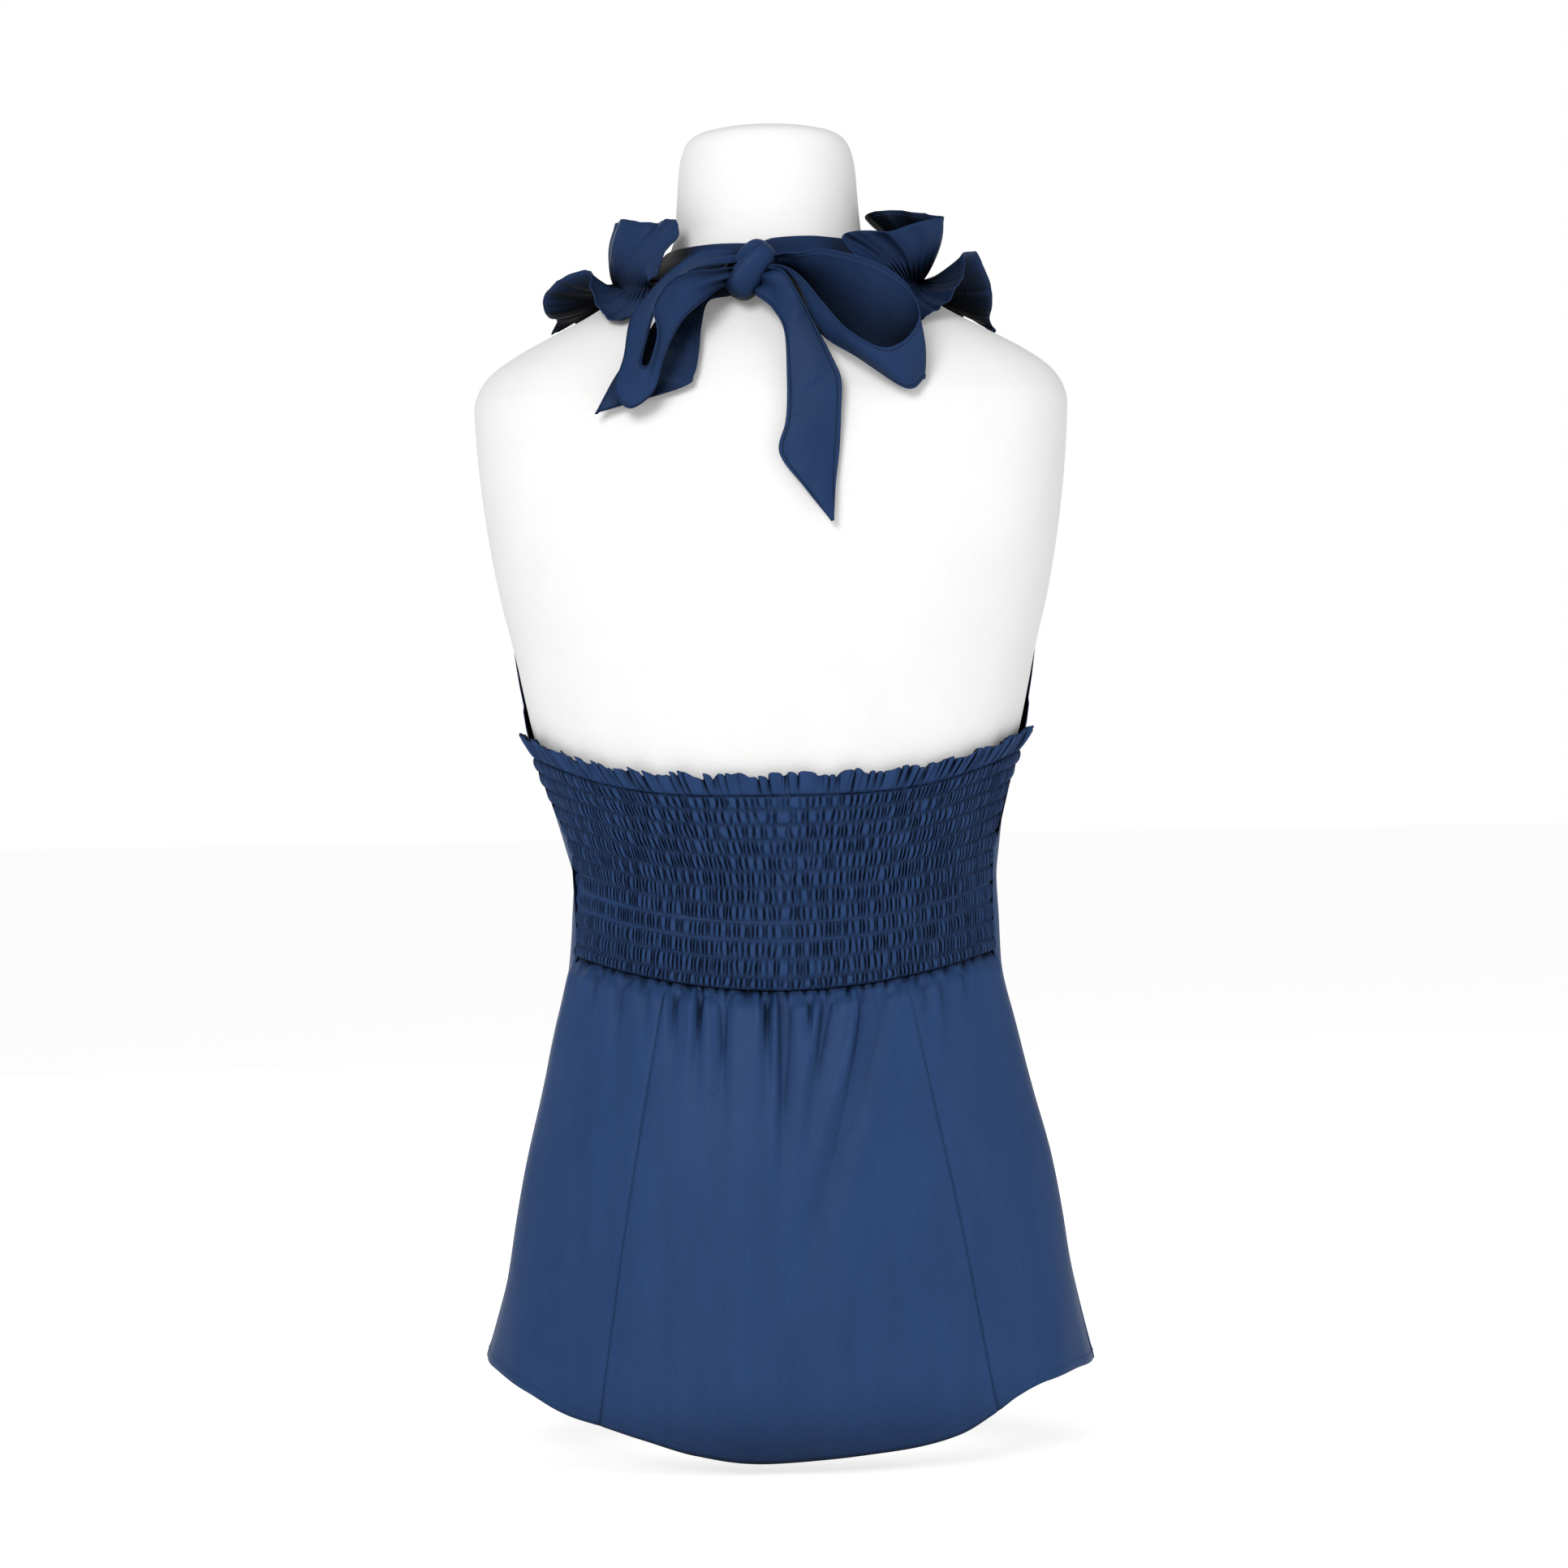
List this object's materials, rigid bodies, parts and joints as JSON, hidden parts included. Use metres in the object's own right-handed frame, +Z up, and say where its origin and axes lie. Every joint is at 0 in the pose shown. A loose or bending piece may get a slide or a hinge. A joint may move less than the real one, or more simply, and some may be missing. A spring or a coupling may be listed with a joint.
{
  "type": "halter neck top on a limbless dress form",
  "caption": "Backless halter neck top with a smocked back, flared shirt-tail skirt, ruffled neckline and ribbon bow, resting on a limbless dress form.",
  "frame": {"origin": "centre of the flat foot under the dress form, on the surface it stands on", "axes": "+Z up; the wearer's back, with the smocking and the bow, faces +Y; the wearer's left is +X"},
  "size_m": [0.3787, 0.2616, 0.821],
  "materials": {
    "form_canvas": "matte off-white woven cover stretched over a firm form",
    "sateen": "navy cotton sateen with a soft sheen",
    "smocked_sateen": "the same navy sateen, gathered on rows of elastic thread",
    "ribbon": "the same navy sateen, doubled and topstitched into a flat tie",
    "ruffle_sateen": "the same navy sateen in a single gathered layer"
  },
  "bodies": {
    "root": {"dress_form": "form_canvas", "back_smocked": "smocked_sateen", "back_side_left": "sateen", "back_centre": "sateen", "back_side_right": "sateen", "front_left": "sateen", "front_right": "sateen", "neck_tie_left": "ribbon", "neck_tie_right": "ribbon", "bow_knot": "ribbon", "bow_loop_left": "ribbon", "bow_loop_right": "ribbon", "bow_tail_left": "ribbon", "bow_tail_right": "ribbon", "ruffle_left": "ruffle_sateen", "ruffle_right": "ruffle_sateen"}
  },
  "joints": []
}
